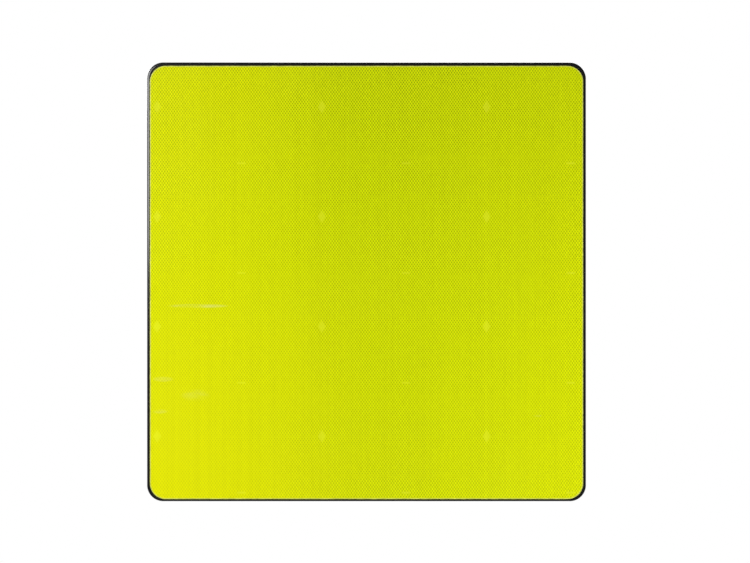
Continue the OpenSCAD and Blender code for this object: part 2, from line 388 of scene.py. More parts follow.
def faintMarks(tree, x, z, look):
    # generic marks: a small lozenge and a short dash, each on its own grid
    gaps = [
        nearest(tree, value, start, pitch)
        for at in (look["markAt"], look["dashAt"])
        for value, start, pitch in zip((x, z), at, look["markPitch"])
    ]
    width, height = look["markSize"]
    lozenge = plus(
        tree, calc(tree, "DIVIDE", gaps[0], width), calc(tree, "DIVIDE", gaps[1], height)
    )
    dash = times(
        tree, remap(tree, gaps[2], *look["dashEnds"], 1.0, 0.0),
        remap(tree, gaps[3], *look["dashRims"], 1.0, 0.0),
    )
    return calc(tree, "MAXIMUM", remap(tree, lozenge, 0.85, 1.1, 1.0, 0.0), dash)


def glareAndScratchPatches(tree, place, x, z):
    # painted glare reflections at the lower left, and one scratch at the right
    glareAndScratch = 0.0
    for middleX, middleZ, halfWidth, halfHeight, strength in sheetingGlareAndScratch:
        shares = [
            calc(tree, "DIVIDE", calc(tree, "SUBTRACT", value, middle), half)
            for value, middle, half in ((x, middleX, halfWidth), (z, middleZ, halfHeight))
        ]
        away = plus(tree, *(times(tree, share, share) for share in shares))
        patch = remap(tree, away, 0.0, 1.0, strength, 0.0, "SMOOTHSTEP")
        glareAndScratch = calc(tree, "MAXIMUM", glareAndScratch, patch)
    grain = cloud(tree, place, 130.0, stretch=(0.25, 1, 1), detail=5.0)
    return times(tree, glareAndScratch, remap(tree, grain, 0.38, 0.62, 0.15, 1.0))


def yellowGreenSheeting():
    look = sheetingLook
    material, tree, shader, place = startMaterial(
        "yellowGreenSheeting", {"IOR": 1.49, "Specular IOR Level": 0.45}
    )
    axes = put(tree, "ShaderNodeSeparateXYZ", {"Vector": place})
    x, z = axes.outputs["X"], axes.outputs["Z"]
    left = remap(tree, x, -0.30, 0.06, 1.0, 0.0, "SMOOTHSTEP")
    right = remap(tree, x, 0.06, 0.30, 0.0, 1.0, "SMOOTHSTEP")
    low = remap(tree, z, -0.30, 0.12, 1.0, 0.0, "SMOOTHSTEP")
    lowLeft = times(tree, left, low)

    # painted light: the sheeting is made yellower where the lamps fall strongest, at the left and low
    # down, with a random mottle on top
    paintedLightAndMottleYellowing = plus(
        tree, *(times(tree, *pair) for pair in zip((left, low, lowLeft, right), look["paintedLightAndMottleYellowing"])),
        remap(tree, cloud(tree, place, 5.0, detail=4.0), 0.3, 0.7, -0.07, 0.07),
    )
    tone = mixColour(tree, paintedLightAndMottleYellowing, look["greenTone"], look["yellowTone"])

    # the cells show most at the top and in the middle, and least at the lower left, where painted sheen
    # washes them out
    shade, sealed = prismCells(tree, x, z, look)
    marks = faintMarks(tree, x, z, look)
    strongest, paintedSheenWeakest = look["contrast"], look["contrast"] * look["paintedSheenLowContrast"]
    paintedSheenAside = plus(tree, *(times(tree, *pair) for pair in zip((left, right, lowLeft), look["paintedSheenFading"])))
    seam = nearest(tree, z, look["seamAt"], look["seamPitch"])
    seam = remap(tree, seam, 0.8 * mm, 2.2 * mm, 1.0, 0.0)
    # painted sheen: the cells' contrast drops where the lamps fall strongest
    contrast = times(
        tree, remap(tree, cloud(tree, place, 16.0, detail=2.0), 0.3, 0.7, 0.86, 1.10),
        remap(tree, z, -0.30, 0.22, paintedSheenWeakest, strongest), calc(tree, "SUBTRACT", 1.0, paintedSheenAside),
        remap(tree, seam, 0.0, 1.0, 1.0, 0.55), remap(tree, marks, 0.0, 1.0, 1.0, 0.35),
    )
    tone = mixColour(tree, times(tree, marks, look["marks"]), tone, look["paleColour"])

    # fine streaks down the web, the step, the pale line, and painted light: the slow change in
    # brightness
    streaks = cloud(tree, place, 40.0, stretch=(6, 1, 0.05), detail=4.0)
    fromLine = calc(tree, "ABSOLUTE", calc(tree, "SUBTRACT", x, look["lineAt"]))
    sideways = calc(tree, "ABSOLUTE", x)
    level = times(
        tree, remap(tree, streaks, 0.3, 0.7, 0.98, 1.02),
        plus(tree, 1.0, times(tree, shade, contrast)),
        remap(tree, x, *look["stepAt"], *look["step"]),
        remap(tree, fromLine, 0.6 * mm, 1.6 * mm, look["line"], 1.0),
        # painted light: brighter at the sides and low down
        remap(tree, sideways, 0.0, 0.30, *look["paintedLightAcross"], "SMOOTHSTEP"),
        remap(tree, z, -0.30, 0.30, *look["paintedLightUpward"]),
    )
    tone = put(tree, "ShaderNodeVectorMath", {0: tone, "Scale": level}, operation="SCALE")

    # painted glare reflections, and one scratch, paler and rougher
    glareAndScratch = glareAndScratchPatches(tree, place, x, z)
    gloss = remap(tree, cloud(tree, place, 7.0, detail=6.0), 0.3, 0.7, *look["gloss"])
    feed(tree, shader, {
        "Base Color": mixColour(tree, glareAndScratch, tone.outputs[0], look["glareAndScratchColour"]),
        "Roughness": plus(tree, gloss, times(tree, glareAndScratch, look["glareAndScratchGloss"])),
    })
    wavy = cloud(tree, place, 24.0, detail=2.0)
    relief(tree, shader, [(wavy, 0.04, 0.002), (sealed, 0.10, 0.00005)])
    return material


sealedEdgeLook = {
    "colour": (0.640, 0.675, 0.090),
    "dirtyColour": (0.470, 0.500, 0.060),
    "gloss": (0.32, 0.50),
}


def sealedFilmEdge():
    look = sealedEdgeLook
    material, tree, shader, place = startMaterial("sealedFilmEdge", {"IOR": 1.49})
    broken = remap(tree, cloud(tree, place, 120.0, detail=5.0), 0.35, 0.65)
    feed(tree, shader, {
        "Base Color": mixColour(tree, broken, look["colour"], look["dirtyColour"]),
        "Roughness": remap(tree, broken, 0.0, 1.0, *look["gloss"]),
    })
    relief(tree, shader, [(cloud(tree, place, 900.0), 0.1, 0.0002)])
    return material


def brushedMetal(name, look):
    # bare metal with streaks along one axis, dull patches and small specks
    material, tree, shader, place = startMaterial(name, {"Metallic": 1.0})
    streaks = cloud(tree, place, look["streakSize"], stretch=look["along"], detail=3.0)
    patches = cloud(tree, place, look["patchSize"], detail=6.0, roughness=0.6)
    patches = remap(tree, patches, 0.36, 0.66)
    specks = remap(tree, cloud(tree, place, 700.0, detail=4.0, roughness=0.7), 0.68, 0.72)
    tone = mixColour(tree, patches, look["colour"], look["dullColour"])
    faint = times(tree, remap(tree, streaks, 0.35, 0.65), look["streaks"])
    tone = mixColour(tree, faint, tone, look["darkColour"])
    rough = plus(tree, patches, times(tree, streaks, 0.5))
    feed(tree, shader, {
        "Base Color": mixColour(tree, times(tree, specks, 0.35), tone, look["darkColour"]),
        "Roughness": remap(tree, rough, 0.15, 1.2, *look["gloss"]),
    })
    grain = cloud(tree, place, look["grainSize"], detail=2.0)
    relief(tree, shader, [(streaks, look["streakDepth"], 0.0003), (grain, look["grain"], 0.0002)])
    return material


extrusionLook = {
    "colour": (0.730, 0.735, 0.745), "dullColour": (0.560, 0.565, 0.570),
    "darkColour": (0.40, 0.40, 0.41), "gloss": (0.26, 0.46), "along": (0.02, 1, 1),
    "streakSize": 900.0, "streaks": 0.30, "streakDepth": 0.16,
    "patchSize": 14.0, "grainSize": 2600.0, "grain": 0.05,
}
clampLook = {
    "colour": (0.660, 0.665, 0.675), "dullColour": (0.500, 0.505, 0.510),
    "darkColour": (0.34, 0.34, 0.35), "gloss": (0.34, 0.54), "along": (1, 1, 0.02),
    "streakSize": 900.0, "streaks": 0.35, "streakDepth": 0.18,
    "patchSize": 38.0, "grainSize": 2000.0, "grain": 0.09,
}
sawnLook = {
    "colour": (0.780, 0.785, 0.795), "dullColour": (0.680, 0.685, 0.690),
    "darkColour": (0.45, 0.45, 0.46), "gloss": (0.24, 0.40), "along": (1.0, 0.015, 1.0),
    "streakSize": 1500.0, "streaks": 0.45, "streakDepth": 0.45,
    "patchSize": 30.0, "grainSize": 3000.0, "grain": 0.08,
}
studLook = {
    "colour": (0.760, 0.765, 0.775), "dullColour": (0.640, 0.645, 0.655),
    "darkColour": (0.42, 0.42, 0.43), "gloss": (0.22, 0.40), "along": (1, 1, 1),
    "streakSize": 500.0, "streaks": 0.20, "streakDepth": 0.06,
    "patchSize": 60.0, "grainSize": 2400.0, "grain": 0.06,
}

zincLook = {
    "colour": (0.640, 0.655, 0.680),
    "blueTint": (0.560, 0.620, 0.720),
    "yellowTint": (0.700, 0.665, 0.560),
    "tint": 0.38,
    "stainColour": (0.380, 0.370, 0.350),
    "stains": 0.55,
    "gloss": (0.22, 0.44),
}


def zincPlatedSteel():
    look = zincLook
    material, tree, shader, place = startMaterial("zincPlatedSteel", {"Metallic": 1.0})
    flakes = put(
        tree, "ShaderNodeTexVoronoi", {"Vector": place, "Scale": 650.0, "Randomness": 1.0}
    ).outputs["Distance"]
    warm = remap(tree, cloud(tree, place, 95.0, detail=3.0), 0.42, 0.62)
    tint = mixColour(tree, warm, look["blueTint"], look["yellowTint"])
    tone = mixColour(tree, look["tint"], look["colour"], tint)
    stained = remap(tree, cloud(tree, place, 160.0, detail=7.0, roughness=0.65), 0.56, 0.74)
    rough = plus(tree, times(tree, stained, 0.5), times(tree, flakes, 0.5))
    feed(tree, shader, {
        "Base Color": mixColour(tree, times(tree, stained, look["stains"]), tone, look["stainColour"]),
        "Roughness": remap(tree, rough, 0.05, 0.75, *look["gloss"]),
    })
    relief(tree, shader, [(cloud(tree, place, 1300.0, detail=3.0), 0.10, 0.0002)])
    return material


capLook = {
    "colour": (0.014, 0.014, 0.014),
    "greyedColour": (0.034, 0.034, 0.035),
    "scratchColour": (0.09, 0.09, 0.09),
    "scratches": 0.4,
    "gloss": (0.38, 0.58),
}


def blackPlastic():
    look = capLook
    material, tree, shader, place = startMaterial("blackPlastic", {"IOR": 1.5})
    greyed = remap(tree, cloud(tree, place, 45.0, detail=6.0), 0.40, 0.68)
    tone = mixColour(tree, greyed, look["colour"], look["greyedColour"])
    scratches = cloud(tree, place, 160.0, stretch=(1, 0.12, 1), detail=4.0)
    scratches = times(tree, remap(tree, scratches, 0.64, 0.68), look["scratches"])
    feed(tree, shader, {
        "Base Color": mixColour(tree, scratches, tone, look["scratchColour"]),
        "Roughness": remap(tree, greyed, 0.0, 1.0, *look["gloss"]),
    })
    relief(tree, shader, [(cloud(tree, place, 2300.0, detail=2.0), 0.22, 0.0002)])
    return material


blackCoat = blackPowderCoat()
sheeting = yellowGreenSheeting()
sheetingEdge = sealedFilmEdge()
extrudedAluminium = brushedMetal("extrudedAluminium", extrusionLook)
clampAluminium = brushedMetal("clampAluminium", clampLook)
sawnAluminium = brushedMetal("sawnAluminium", sawnLook)
aluminiumStud = brushedMetal("aluminiumStud", studLook)
platedSteel = zincPlatedSteel()
capPlastic = blackPlastic()
print("materials ready")


smoothAngle = 38.0   # in degrees; edges sharper than this stay crisp
spot = namedtuple("spot", "x y z")


def placeOf(node):
    # low corner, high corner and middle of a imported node, in millimetres
    low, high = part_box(node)
    middle = [(near + far) / 2 for near, far in zip(low, high)]
    return [spot(*(value / mm for value in corner)) for corner in (low, high, middle)]


def smoothFaces(mesh, angle):
    mesh.polygons.foreach_set("use_smooth", [True] * len(mesh.polygons))
    mesh.set_sharp_from_angle(angle=math.radians(angle))


def makePiece(name, bm, finishes):
    # bm is in millimetres in the sign's frame; the piece is in metres at the origin
    bmesh.ops.recalc_face_normals(bm, faces=bm.faces)
    bmesh.ops.scale(bm, vec=(mm, mm, mm), verts=bm.verts)
    mesh = bpy.data.meshes.new(name)
    bm.to_mesh(mesh)
    bm.free()
    for finish in finishes:
        mesh.materials.append(finish)
    smoothFaces(mesh, smoothAngle)
    piece = bpy.data.objects.new(name, mesh)
    shown.link(piece)
    return piece


def applyModifiers(piece):
    finished = bpy.data.meshes.new_from_object(
        piece.evaluated_get(bpy.context.evaluated_depsgraph_get())
    )
    piece.modifiers.clear()
    rough = piece.data
    piece.data = finished
    bpy.data.meshes.remove(rough)
    finished.name = piece.name


def softenShading(piece, angle=smoothAngle):
    # large flat faces keep one direction, and only the small rims curve
    smoothFaces(piece.data, angle)
    modifier = piece.modifiers.new("weighted", "WEIGHTED_NORMAL")
    modifier.keep_sharp = True
    applyModifiers(piece)


def addPiece(piece, body, slot, *nodes):
    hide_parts(*nodes)
    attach(piece, body)


def arc(middleX, middleY, radius, start, end, steps):
    points = []
    for step in range(steps + 1):
        angle = math.radians(start + (end - start) * step / steps)
        points.append((middleX + radius * math.cos(angle), middleY + radius * math.sin(angle)))
    return points


def roundCorners(corners, steps=5):
    # corners are x, y and radius; gives the outline with each corner rounded
    points = []
    for index, (x, y, radius) in enumerate(corners):
        if radius == 0:
            points.append((x, y))
            continue
        here = Vector((x, y))
        before = (Vector(corners[index - 1][:2]) - here).normalized()
        after = (Vector(corners[(index + 1) % len(corners)][:2]) - here).normalized()
        half = before.angle(after) / 2
        middle = here + (before + after).normalized() * radius / math.sin(half)
        first, last = (here + way * radius / math.tan(half) - middle for way in (before, after))
        start = math.degrees(math.atan2(first.y, first.x))
        end = math.degrees(math.atan2(last.y, last.x))
        turn = (end - start + 180) % 360 - 180
        points += arc(middle.x, middle.y, radius, start, start + turn, steps)
    return points


def windOutline(points, anticlockwise):
    area = sum(
        a[0] * b[1] - b[0] * a[1] for a, b in zip(points, points[1:] + points[:1])
    )
    return points if (area > 0) == anticlockwise else points[::-1]


def insetOutline(points, distance):
    # moves an outline to its left, which is into the material
    moved = []
    for index, point in enumerate(points):
        here = Vector(point)
        along = (here - Vector(points[index - 1])).normalized()
        onward = (Vector(points[(index + 1) % len(points)]) - here).normalized()
        first, second = Vector((-along.y, along.x)), Vector((-onward.y, onward.x))
        share = max(1 + first.dot(second), 0.3)   # keeps a very sharp corner from flying off
        moved.append(here + (first + second) / share * distance)
    return moved


def joinRings(bm, rings, closed=True):
    # quads between rings of vertices
    pairs = zip(rings, rings[1:] + rings[:1]) if closed else zip(rings, rings[1:])
    for near, far in pairs:
        count = len(near)
        for index in range(count):
            after = (index + 1) % count
            bm.faces.new((near[index], near[after], far[after], far[index]))


def extrudeOutline(bm, outlines, low, high, edge, place, capIndex=0):
    # a prism with rounded rims; the first outline is the outside, the others are holes
    cut = 0.293 * edge   # half-way round a rim
    levels = [
        (edge, low), (cut, low + cut), (0, low + edge),
        (0, high - edge), (cut, high - cut), (edge, high),
    ]
    wound = [windOutline(points, index == 0) for index, points in enumerate(outlines)]
    made = []
    for points in wound:
        rings = [
            [bm.verts.new(place(p[0], p[1], level)) for p in insetOutline(points, inset)]
            for inset, level in levels
        ]
        joinRings(bm, rings, closed=False)
        made.append(rings)
    flat = [[Vector((*p, 0)) for p in insetOutline(points, edge)] for points in wound]
    for end in (0, -1):
        corners = [vertex for rings in made for vertex in rings[end]]
        for triangle in tessellate_polygon(flat):
            face = bm.faces.new([corners[index] for index in triangle])
            face.material_index = capIndex
    bmesh.ops.recalc_face_normals(bm, faces=bm.faces)


def addVertex(bm, centre, radius, y, angle):
    # the centre is x and z; the angle starts at the top
    return bm.verts.new(
        (centre[0] + radius * math.sin(angle), y, centre[1] + radius * math.cos(angle))
    )


def turned(bm, profile, centre, segments=48, radiusAt=None, closed=True):
    # a profile of radius and y, turned round an axis that points to the back; one that
    # isn't closed gets flat ends
    rings = []
    for index, point in enumerate(profile):
        ring = []
        for step in range(segments):
            angle = 2 * math.pi * step / segments
            radius, y = radiusAt(index, angle) if radiusAt else point
            ring.append(addVertex(bm, centre, radius, y, angle))
        rings.append(ring)
    joinRings(bm, rings, closed)
    if not closed:
        bm.faces.new(rings[0])
        bm.faces.new(rings[-1])


def holeCutter(bm, centre, diameter, edge, near, far, segments=48):
    # bores from near to far and takes a chamfer off both rims
    radius, wide = diameter / 2, diameter / 2 + edge + 1
    turned(bm, [
        (wide, near - 1), (radius, near + edge), (radius, far - edge), (wide, far + 1),
    ], centre, segments, closed=False)


def washerShape(bm, centre, size, front):
    # punched: one rim is rolled over, the other is nearly sharp
    inner, outer, back = size["inner"] / 2, size["outer"] / 2, front + size["thickness"]
    roll, burr = 0.28 * size["thickness"], 0.06 * size["thickness"]
    turned(bm, [
        (inner, front + burr), (inner + burr, front), (outer - burr, front), (outer, front + burr),
        (outer, back - roll), (outer - 0.3 * roll, back - 0.3 * roll), (outer - roll, back),
        (inner + roll, back), (inner + 0.3 * roll, back - 0.3 * roll), (inner, back - roll),
    ], centre, 56)


def nutShape(bm, centre, thread, size, front):
    # a hexagon whose corners are turned off at 30 degrees on both faces
    flat, back = size["acrossFlats"] / 2, front + size["height"]
    bore = thread / 2 + size["threadGap"]
    start = 0.95 * flat
    slope = math.tan(math.radians(30))
    mouth = 0.09 * thread
    widest = 0.985 * flat / math.cos(math.radians(30))

    def radiusAt(index, angle):
        sector = (math.degrees(angle) + 30) % 60 - 30
        hexagon = min(flat / math.cos(math.radians(sector)), widest)
        fall = (hexagon - start) * slope
        return [
            (bore, front + mouth), (bore + mouth, front), (start, front), (hexagon, front + fall),
            (hexagon, back - fall), (start, back), (bore + mouth, back), (bore, back - mouth),
        ][index]

    turned(bm, [None] * 8, centre, 60, radiusAt)


def threadedRod(bm, centre, size, front, back, segments=36):
    # one helical strip: root, root, crest, crest; the free end is chamfered and both are closed
    major, pitch, plain = size["thread"] / 2, size["pitch"], size["plain"]
    minor = major - 0.613 * pitch
    tip = major - size["taper"]
    profile = [(0.0, minor), (0.25, minor), (0.56, major), (0.69, major)]
    rows = [
        (front + (turn - 1 + share) * pitch, radius)
        for turn in range(int((back - front) / pitch) + 3)
        for share, radius in profile
    ]
    grid = []
    for level, radius in rows:
        ring = []
        for step in range(segments):
            y = level + pitch * step / segments
            r = min(major if y < front + plain else radius, tip + max(back - y, 0))
            if y <= front:
                y, r = front, major
            ring.append(addVertex(bm, centre, r, min(y, back), 2 * math.pi * step / segments))
        grid.append(ring)
    # the last column joins the first one of the next turn
    perTurn = len(profile)
    for index, (near, far) in enumerate(zip(grid, grid[1:])):
        for step in range(segments - 1):
            bm.faces.new((near[step], near[step + 1], far[step + 1], far[step]))
        if index + 1 + perTurn < len(grid):
            onward = grid[index + perTurn][0], grid[index + 1 + perTurn][0]
            bm.faces.new((near[-1], *onward, far[-1]))
    made = [vertex for ring in grid for vertex in ring]
    bmesh.ops.remove_doubles(bm, verts=made, dist=0.0005)
    loose = [vertex for vertex in bm.verts if not vertex.link_faces]
    bmesh.ops.delete(bm, geom=loose, context="VERTS")
    rims = [edge for edge in bm.edges if edge.is_boundary]
    bmesh.ops.holes_fill(bm, edges=rims, sides=0)


def cutHoles(piece, cutter):
    modifier = piece.modifiers.new("holes", "BOOLEAN")
    modifier.operation = "DIFFERENCE"
    modifier.solver = "EXACT"
    modifier.object = cutter
    applyModifiers(piece)
    bpy.data.objects.remove(cutter)


panelShape = {
    "cornerRadius": 22.0,
    "sheet": 2.0,
    "bend": 3.0,
    "returnFlange": 12.0,
    "mitre": 0.6,        # how fast the return flanges' ends are cut back
    "edgeRound": 0.3,
    "cornerSteps": 20,
    "bendSteps": 8,
}


def roundedSquare(half, radius, steps):
    # stations round the outline: corner centre x and z, and the outward direction x and z
    stations = []
    for turn, (sideX, sideZ) in enumerate(((1, 1), (-1, 1), (-1, -1), (1, -1))):
        for step in range(steps + 1):
            angle = math.radians(90 * turn + 90 * step / steps)
            stations.append((
                sideX * (half - radius), sideZ * (half - radius), math.cos(angle), math.sin(angle)
            ))
    return stations


def makeSignPanel():
    shape = panelShape
    low, high, _ = placeOf("sign_panel")
    front, depth = low.y, high.y - low.y
    radius, sheet, bend = shape["cornerRadius"], shape["sheet"], shape["bend"]
    inner, soft, steps = bend - sheet, shape["edgeRound"], shape["bendSteps"]
    shoulder, rim = bend + soft, depth - bend
    stations = roundedSquare(high.x, radius, shape["cornerSteps"])
    around = [math.radians(90 * step / steps) for step in range(steps + 1)]
    bm = bmesh.new()

    def corner(station, offset, level, slide=0.0):
        x, z, outX, outZ = station
        reach = radius - offset
        return bm.verts.new((
            x + reach * outX - slide * outZ, front + level, z + reach * outZ + slide * outX
        ))

    def ringsOf(profile):
        return [[corner(station, *point) for station in stations] for point in profile]

    # offset and depth, from the face round the bend and down the folded edge, and back inside
    outerBend = [(bend - bend * math.sin(a), bend - bend * math.cos(a)) for a in around]
    innerBend = [(bend - inner * math.sin(a), bend - inner * math.cos(a)) for a in reversed(around)]
    outer = ringsOf([(shoulder, 0.0)] + outerBend + [(0.0, shoulder), (0.0, rim - soft)])
    inside = ringsOf([(sheet, rim - soft), (sheet, shoulder)] + innerBend + [(shoulder, sheet)])
    joinRings(bm, outer, closed=False)
    joinRings(bm, inside, closed=False)
    bm.faces.new(outer[0])
    bm.faces.new(inside[-1])

    # the bare rim of each corner, and the fold and return flange of each straight side
    rims = ringsOf([(soft, rim), (sheet - soft, rim)])
    flange, back = shape["returnFlange"], depth - sheet
    foldOut = [(bend - bend * math.cos(a), rim + bend * math.sin(a)) for a in around]
    foldIn = [(bend - inner * math.cos(a), rim + inner * math.sin(a)) for a in reversed(around)]
    lip = [(flange - soft, depth), (flange, depth - soft), (flange, back + soft), (flange - soft, back)]
    foldProfile = foldOut + [(shoulder, depth)] + lip + [(shoulder, back)] + foldIn
    split = len(foldOut)
    perCorner = shape["cornerSteps"] + 1
    for turn in range(4):
        first, last = turn * perCorner, (turn + 1) * perCorner - 1
        for index in range(first, last):
            strip = (outer[-1], rims[0], rims[1], inside[0])
            for near, far in zip(strip, strip[1:]):
                bm.faces.new((near[index], near[index + 1], far[index + 1], far[index]))
        onward = (last + 1) % len(stations)
        ends = []
        for index, direction in ((last, 1), (onward, -1)):
            line = [
                corner(stations[index], *point, direction * shape["mitre"] * max(point[0] - bend, 0))
                for point in foldProfile
            ]
            ends.append([outer[-1][index]] + line + [inside[0][index]])
        for index, line in ((last, ends[0]), (onward, ends[1])):
            edge = [outer[-1][index], rims[0][index], rims[1][index], inside[0][index]]
            bm.faces.new(line[1:split + 2] + line[-split - 2:-1] + edge[::-1])
            bm.faces.new(line[split + 1:-split - 1])
        for corners in zip(ends[0], ends[1], ends[1][1:], ends[0][1:]):
            bm.faces.new(corners)
    addPiece(makePiece("signPanel", bm, [blackCoat]), "panel", "black_powder_coat", "sign_panel")


filmShape = {
    "cornerRadius": 21.5,
    "edgeRound": 0.12,
    "sealedEdge": 1.3,   # width of the pale ring where the sheeting's edge is sealed
    "cornerSteps": 20,
}


def makeSheeting():
    shape = filmShape
    low, high, middle = placeOf("reflective_sheeting")
    radius, soft = shape["cornerRadius"], shape["edgeRound"]
    front, back = low.y, high.y
    bm = bmesh.new()
    rings = []
    for offset, y in (
        (0.0, back), (0.0, front + soft), (0.3 * soft, front + 0.3 * soft), (soft, front),
        (shape["sealedEdge"], front),
    ):
        reach = radius - offset
        rings.append([
            bm.verts.new((x + reach * outX, y, middle.z + z + reach * outZ))
            for x, z, outX, outZ in roundedSquare(high.x, radius, shape["cornerSteps"])
        ])
    joinRings(bm, rings, closed=False)
    for face in bm.faces:
        face.material_index = 1
    bm.faces.new(rings[0])
    bm.faces.new(rings[-1])
    piece = makePiece("sheetingFilm", bm, [sheeting, sheetingEdge])
    addPiece(piece, "panel", "yellow_green_sheeting", "reflective_sheeting")


makeSignPanel()
makeSheeting()
print("panel and sheeting ready")


railShape = {
    "channelWidth": 27.0,
    "wall": 2.5,
    "slot": 9.0,
    "holeDiameter": 8.5,
    "footLine": 22.5,     # from the rail's middle to each line of holes
    "firstHole": 35.0,    # from the rail's end
    "holesPerFoot": 4,
    "guideGroove": 0.35,  # depth of the drill line along each foot
    "holeEdge": 0.3,
    "endEdge": 0.25,
}


def railOutline(half, height):
    # z and y of the section, anticlockwise from the lower foot
    shape = railShape
    wall, channel, slot = shape["wall"], shape["channelWidth"] / 2, shape["slot"] / 2
    inner, line, groove = channel - wall, shape["footLine"], shape["guideGroove"]

    def foot(side):
        return [
            (side * half, 0, 0.5), (side * half, wall, 0.8),
            (side * (line + groove), wall, 0), (side * line, wall - groove, 0),
            (side * (line - groove), wall, 0), (side * channel, wall, 1.4),
            (side * channel, height, 1.0), (side * slot, height, 0.5),
            (side * slot, height - wall, 0.4), (side * inner, height - wall, 0.8),
            (side * inner, wall, 0.8),
        ]

    return roundCorners(foot(1) + foot(-1)[::-1])


def makeRail(level):
    shape = railShape
    name = level + "_rail"
    low, high, middle = placeOf(name)
    bm = bmesh.new()
    extrudeOutline(
        bm, [railOutline((high.z - low.z) / 2, high.y - low.y)], low.x, high.x, shape["endEdge"],
        lambda z, y, x: (x, low.y + y, middle.z + z), capIndex=1,
    )
    rail = makePiece(level + "Rail", bm, [extrudedAluminium, sawnAluminium])
    holes = bmesh.new()
    first, last = low.x + shape["firstHole"], high.x - shape["firstHole"]
    for column in range(shape["holesPerFoot"]):
        x = first + (last - first) * column / (shape["holesPerFoot"] - 1)
        for side in (-1, 1):
            holeCutter(
                holes, (x, middle.z + side * shape["footLine"]), shape["holeDiameter"],
                shape["holeEdge"], low.y, low.y + shape["wall"],
            )
    cutHoles(rail, makePiece("railHoles", holes, [extrudedAluminium]))
    softenShading(rail)
    addPiece(rail, "panel", "extruded_aluminium", name)


capShape = {
    "plate": 3.0,
    "plateEdge": 0.7,
    "cornerRadius": 2.0,
    "plugDepth": 10.0,
    "plugWall": 2.0,
    "plugGap": 0.15,
    "plugEdge": 0.25,
    "panelInset": 2.4,   # the shallow panel on the plate's outer face; its corners come out uneven
    "panelDepth": 0.4,
    "ribs": 0.12,        # how far the crush ribs stand off the plug
    "ribsAt": (0.3, 0.7),
}


def makeEndCap(level, side):
    shape = capShape
    name = level + "_" + side + "_end_cap"
    low, high, middle = placeOf(name)
    sign, outside = (1, high.x) if side == "right" else (-1, low.x)
    half, height = (high.z - low.z) / 2, high.y - low.y
    joint = outside - sign * shape["plate"]
    bm = bmesh.new()

    def place(z, y, x):
        return (x, low.y + y, middle.z + z)

    corner = shape["cornerRadius"]
    plate = roundCorners([
        (-half, 0, 0.5), (half, 0, 0.5), (half, height, corner), (-half, height, corner),
    ])
    extrudeOutline(bm, [plate], *sorted((joint, outside)), shape["plateEdge"], place)
    face = [f for f in bm.faces if abs(f.calc_center_median().x - outside) < 0.01]
    bmesh.ops.inset_region(bm, faces=face, thickness=shape["panelInset"] - shape["plateEdge"])
    bmesh.ops.inset_region(bm, faces=face, thickness=0.35, depth=-shape["panelDepth"])

    wall, thick = railShape["wall"], shape["plugWall"]
    plugHalf = railShape["channelWidth"] / 2 - wall - shape["plugGap"]
    bottom, top = wall + shape["plugGap"], height - wall - shape["plugGap"]

    def ribbed(way):
        # one side of the plug with its crush ribs, from bottom to top
        z, points = way * plugHalf, [(way * plugHalf, bottom, 0.6)]
        for share in shape["ribsAt"]:
            y = bottom + (top - bottom) * share
            points += [(z, y - 0.5, 0), (z + way * shape["ribs"], y, 0), (z, y + 0.5, 0)]
        return points + [(z, top, 0.6)]

    hollow = [
        (-plugHalf + thick, bottom + thick, 0.8), (plugHalf - thick, bottom + thick, 0.8),
        (plugHalf - thick, top - thick, 0.8), (-plugHalf + thick, top - thick, 0.8),
    ]
    ends = sorted((joint - sign * shape["plugDepth"], joint + sign * 0.3))
    extrudeOutline(
        bm, [roundCorners(ribbed(1) + ribbed(-1)[::-1]), roundCorners(hollow)], *ends,
        shape["plugEdge"], place,
    )
    piece = makePiece(level + side.capitalize() + "EndCap", bm, [capPlastic])
    softenShading(piece)
    addPiece(piece, "panel", "black_plastic", name)


for level in ("upper", "lower"):
    makeRail(level)
    for side in ("left", "right"):
        makeEndCap(level, side)
print("rails ready")


studShape = {
    "thread": 6.0,
    "pitch": 1.0,
    "taper": 0.7,
    "plain": 0.6,   # bare shank above the flange
    "flangeDiameter": 7.5,
    "flangeHeight": 1.0,
    "length": 12.1,
}
studWasherShape = {"inner": 7.0, "outer": 16.0, "thickness": 1.6}
studNutShape = {"acrossFlats": 10.0, "height": 5.0, "threadGap": 0.05}


